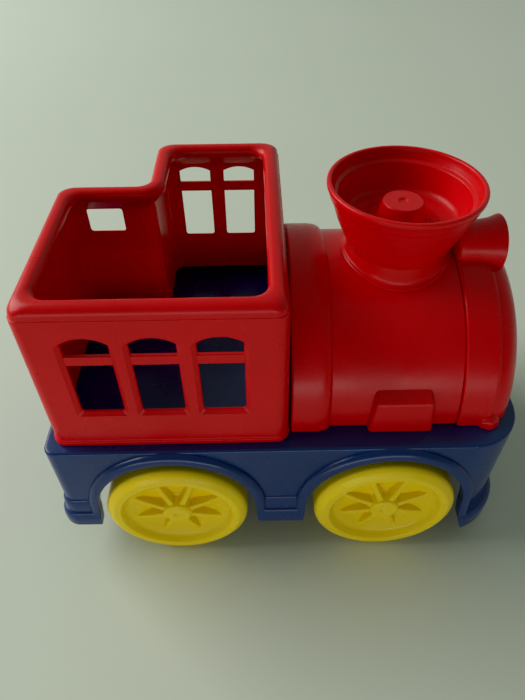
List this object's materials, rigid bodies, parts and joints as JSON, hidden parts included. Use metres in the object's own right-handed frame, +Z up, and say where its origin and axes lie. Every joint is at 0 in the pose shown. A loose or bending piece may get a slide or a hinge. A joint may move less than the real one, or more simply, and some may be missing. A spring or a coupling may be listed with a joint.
{
  "type": "toy train locomotive",
  "caption": "Plastic toy steam locomotive with an open-topped cab, a half-round boiler, a flared funnel, a headlamp and wheels turning on steel axles.",
  "frame": {"origin": "on the ground, under the middle of the chassis", "axes": "+X forwards along the rails, +Y to the locomotive's left, +Z up"},
  "size_m": [0.25, 0.174, 0.187],
  "materials": {
    "blue_plastic": "glossy injection-moulded",
    "red_plastic": "glossy injection-moulded",
    "yellow_plastic": "glossy injection-moulded",
    "steel": "zinc-plated"
  },
  "bodies": {
    "frame": {"chassis_shell": "blue_plastic", "cab_shell": "red_plastic", "boiler_shell": "red_plastic", "smokebox": "red_plastic", "funnel": "red_plastic", "headlamp": "red_plastic", "rear_axle_keeper": "blue_plastic", "front_axle_keeper": "blue_plastic", "keeper_screw_1": "steel", "keeper_screw_2": "steel", "keeper_screw_3": "steel", "keeper_screw_4": "steel", "body_screw_1": "steel", "body_screw_2": "steel", "body_screw_3": "steel", "body_screw_4": "steel", "body_screw_5": "steel", "body_screw_6": "steel", "funnel_screw": "steel", "headlamp_screw": "steel"},
    "front_wheelset": {"front_axle": "steel", "front_wheel_right": "yellow_plastic", "front_wheel_left": "yellow_plastic"},
    "rear_wheelset": {"rear_axle": "steel", "rear_wheel_right": "yellow_plastic", "rear_wheel_left": "yellow_plastic"}
  },
  "joints": [
    {"name": "front_axle_turn", "type": "hinge", "parent": "frame", "child": "front_wheelset", "pos_m": [0.0533, 0, 0.038], "axis": [0, 1, 0], "continuous": true},
    {"name": "rear_axle_turn", "type": "hinge", "parent": "frame", "child": "rear_wheelset", "pos_m": [-0.059, 0, 0.038], "axis": [0, 1, 0], "continuous": true}
  ]
}
